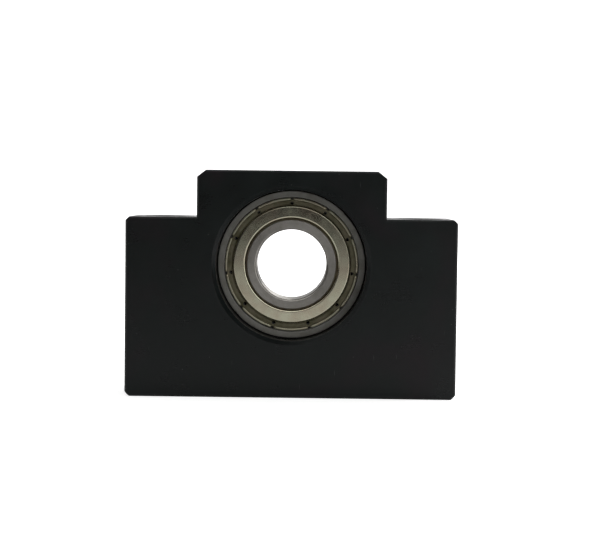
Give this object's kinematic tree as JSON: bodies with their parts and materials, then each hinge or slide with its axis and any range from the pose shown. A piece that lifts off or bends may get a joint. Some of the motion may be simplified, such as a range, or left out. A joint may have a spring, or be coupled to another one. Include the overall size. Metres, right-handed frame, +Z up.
{
  "type": "ball screw end support",
  "caption": "Stepped steel block that holds the free end of a ball screw in a shielded deep-groove ball bearing, bolted down through its two counterbored shoulders.",
  "frame": {"origin": "centre of the base face", "axes": "+X across the block, +Y along the screw's axis from the front face to the back, +Z up"},
  "size_m": [0.07, 0.02, 0.048],
  "materials": {
    "black_oxide": "satin black oxide on ground steel",
    "ring_steel": "ground bearing steel",
    "shield_steel": "pressed cold-rolled sheet steel, oily, with a faint olive tint",
    "cage_steel": "pressed sheet steel",
    "ball_steel": "lapped",
    "rivet_steel": "cold-headed steel"
  },
  "bodies": {
    "support": {"housing": "black_oxide", "outer_ring": "ring_steel", "front_shield": "shield_steel", "back_shield": "shield_steel"},
    "inner_race": {"inner_ring": "ring_steel"},
    "cage": {"front_cage": "cage_steel", "back_cage": "cage_steel", "rivet_1": "rivet_steel", "rivet_2": "rivet_steel", "rivet_3": "rivet_steel", "rivet_4": "rivet_steel", "rivet_5": "rivet_steel", "rivet_6": "rivet_steel", "rivet_7": "rivet_steel", "rivet_8": "rivet_steel", "rivet_9": "rivet_steel"},
    "ball_1": {"ball_1": "ball_steel"},
    "ball_2": {"ball_2": "ball_steel"},
    "ball_3": {"ball_3": "ball_steel"},
    "ball_4": {"ball_4": "ball_steel"},
    "ball_5": {"ball_5": "ball_steel"},
    "ball_6": {"ball_6": "ball_steel"},
    "ball_7": {"ball_7": "ball_steel"},
    "ball_8": {"ball_8": "ball_steel"},
    "ball_9": {"ball_9": "ball_steel"}
  },
  "joints": [
    {"name": "inner_ring_spin", "type": "hinge", "parent": "support", "child": "inner_race", "pos_m": [0, 0, 0.028], "axis": [0, 1, 0], "continuous": true},
    {"name": "cage_spin", "type": "hinge", "parent": "support", "child": "cage", "pos_m": [0, 0, 0.028], "axis": [0, 1, 0], "continuous": true},
    {"name": "ball_1_spin", "type": "hinge", "parent": "cage", "child": "ball_1", "pos_m": [0, 0, 0.01625], "axis": [0, 1, 0], "continuous": true},
    {"name": "ball_2_spin", "type": "hinge", "parent": "cage", "child": "ball_2", "pos_m": [0.00755, 0, 0.019], "axis": [0, 1, 0], "continuous": true},
    {"name": "ball_3_spin", "type": "hinge", "parent": "cage", "child": "ball_3", "pos_m": [0.01157, 0, 0.02596], "axis": [0, 1, 0], "continuous": true},
    {"name": "ball_4_spin", "type": "hinge", "parent": "cage", "child": "ball_4", "pos_m": [0.01018, 0, 0.03388], "axis": [0, 1, 0], "continuous": true},
    {"name": "ball_5_spin", "type": "hinge", "parent": "cage", "child": "ball_5", "pos_m": [0.00402, 0, 0.03904], "axis": [0, 1, 0], "continuous": true},
    {"name": "ball_6_spin", "type": "hinge", "parent": "cage", "child": "ball_6", "pos_m": [-0.00402, 0, 0.03904], "axis": [0, 1, 0], "continuous": true},
    {"name": "ball_7_spin", "type": "hinge", "parent": "cage", "child": "ball_7", "pos_m": [-0.01018, 0, 0.03388], "axis": [0, 1, 0], "continuous": true},
    {"name": "ball_8_spin", "type": "hinge", "parent": "cage", "child": "ball_8", "pos_m": [-0.01157, 0, 0.02596], "axis": [0, 1, 0], "continuous": true},
    {"name": "ball_9_spin", "type": "hinge", "parent": "cage", "child": "ball_9", "pos_m": [-0.00755, 0, 0.019], "axis": [0, 1, 0], "continuous": true}
  ],
  "couplings": [
    {"joint": "cage_spin", "follows": "inner_ring_spin", "ratio": 0.39868},
    {"joint": "ball_1_spin", "follows": "inner_ring_spin", "ratio": -2.3661},
    {"joint": "ball_2_spin", "follows": "inner_ring_spin", "ratio": -2.3661},
    {"joint": "ball_3_spin", "follows": "inner_ring_spin", "ratio": -2.3661},
    {"joint": "ball_4_spin", "follows": "inner_ring_spin", "ratio": -2.3661},
    {"joint": "ball_5_spin", "follows": "inner_ring_spin", "ratio": -2.3661},
    {"joint": "ball_6_spin", "follows": "inner_ring_spin", "ratio": -2.3661},
    {"joint": "ball_7_spin", "follows": "inner_ring_spin", "ratio": -2.3661},
    {"joint": "ball_8_spin", "follows": "inner_ring_spin", "ratio": -2.3661},
    {"joint": "ball_9_spin", "follows": "inner_ring_spin", "ratio": -2.3661}
  ]
}
